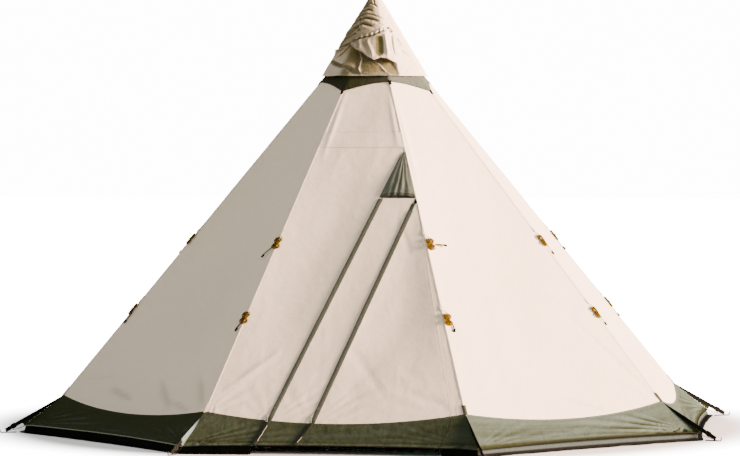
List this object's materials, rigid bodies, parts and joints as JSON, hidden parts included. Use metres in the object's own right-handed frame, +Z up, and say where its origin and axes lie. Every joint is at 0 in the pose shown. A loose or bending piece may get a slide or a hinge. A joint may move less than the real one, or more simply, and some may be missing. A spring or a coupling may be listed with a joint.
{
  "type": "tipi tent",
  "caption": "Eight-sided canvas tipi on a telescopic centre pole, with a zipped door leaf, a dark skirt, a pointed vent cap, corner straps and coiled guylines",
  "frame": {"origin": "On the ground under the centre pole, at the middle of the ring of pegs", "axes": "+Z up; the door face looks along -Y; +X to the right of someone who faces the door"},
  "size_m": [4.6366, 4.6366, 2.884],
  "materials": {
    "canvas": "tan cotton canvas, matte",
    "skirt_cloth": "dark olive coated cloth, matte",
    "trim_cloth": "green-grey coated cloth, matte",
    "hood_cloth": "grey-green coated cloth, matte",
    "webbing": "dark woven webbing",
    "net": "dark insect net",
    "cord": "yellow braided cord",
    "bright_metal": "bright steel",
    "black_plastic": "black moulded plastic",
    "black_rubber": "black rubber"
  },
  "bodies": {
    "tent": {"wall_front": "canvas", "wall_front_right": "canvas", "wall_right": "canvas", "wall_back_right": "canvas", "wall_back": "canvas", "wall_back_left": "canvas", "wall_left": "canvas", "wall_front_left": "canvas", "skirt_front": "skirt_cloth", "skirt_front_right": "skirt_cloth", "skirt_right": "skirt_cloth", "skirt_back_right": "skirt_cloth", "skirt_back": "skirt_cloth", "skirt_back_left": "skirt_cloth", "skirt_left": "skirt_cloth", "skirt_front_left": "skirt_cloth", "ground_flap": "skirt_cloth", "door_vent_net": "net", "door_hood": "hood_cloth", "corner_strap_door_right": "webbing", "corner_strap_side_right_front": "webbing", "corner_strap_side_right_back": "webbing", "corner_strap_back_right": "webbing", "corner_strap_back_left": "webbing", "corner_strap_side_left_back": "webbing", "corner_strap_side_left_front": "webbing", "corner_strap_door_left": "webbing", "guyline_upper_door_right": "cord", "guyline_upper_side_right_front": "cord", "guyline_upper_side_right_back": "cord", "guyline_upper_back_right": "cord", "guyline_upper_back_left": "cord", "guyline_upper_side_left_back": "cord", "guyline_upper_side_left_front": "cord", "guyline_upper_door_left": "cord", "guyline_lower_door_right": "cord", "guyline_lower_side_right_front": "cord", "guyline_lower_side_right_back": "cord", "guyline_lower_back_right": "cord", "guyline_lower_back_left": "cord", "guyline_lower_side_left_back": "cord", "guyline_lower_side_left_front": "cord", "guyline_lower_door_left": "cord", "vent_collar": "trim_cloth", "vent_net": "net", "crown_hub": "black_plastic", "pole_foot": "black_rubber", "pole_lower_tube": "bright_metal", "pole_clamp": "black_plastic"},
    "door": {"door_strip": "canvas", "door_canvas": "canvas", "door_skirt": "skirt_cloth", "zip_flap_left": "trim_cloth", "zip_flap_right": "trim_cloth"},
    "zip_slider_left": {"zip_slider_left": "bright_metal"},
    "zip_slider_right": {"zip_slider_right": "bright_metal"},
    "cap": {"vent_cap": "canvas", "cap_stem": "black_plastic"},
    "pole_upper": {"pole_upper_tube": "bright_metal"},
    "clamp_lever": {"clamp_lever": "black_plastic"}
  },
  "joints": [
    {"name": "door_swing", "type": "hinge", "parent": "tent", "child": "door", "pos_m": [0.71364, -1.94015, 0.23], "axis": [-0.1972, 0.6056, 0.771], "range_deg": [0, 105]},
    {"name": "left_zip_slide", "type": "slide", "parent": "door", "child": "zip_slider_left", "axis": [0.3122, 0.5868, 0.7471], "range_m": [0, 1.6]},
    {"name": "right_zip_slide", "type": "slide", "parent": "door", "child": "zip_slider_right", "axis": [0.2888, 0.5914, 0.7529], "range_m": [0, 1.6]},
    {"name": "cap_lift", "type": "slide", "parent": "tent", "child": "cap", "axis": [0, 0, 1], "range_m": [0, 0.1]},
    {"name": "pole_slide", "type": "slide", "parent": "tent", "child": "pole_upper", "axis": [0, 0, 1], "range_m": [-0.9, 0]},
    {"name": "clamp_lever_turn", "type": "hinge", "parent": "tent", "child": "clamp_lever", "pos_m": [0, -0.0305, 1.442], "axis": [0, 0, -1], "range_deg": [0, 90]}
  ]
}
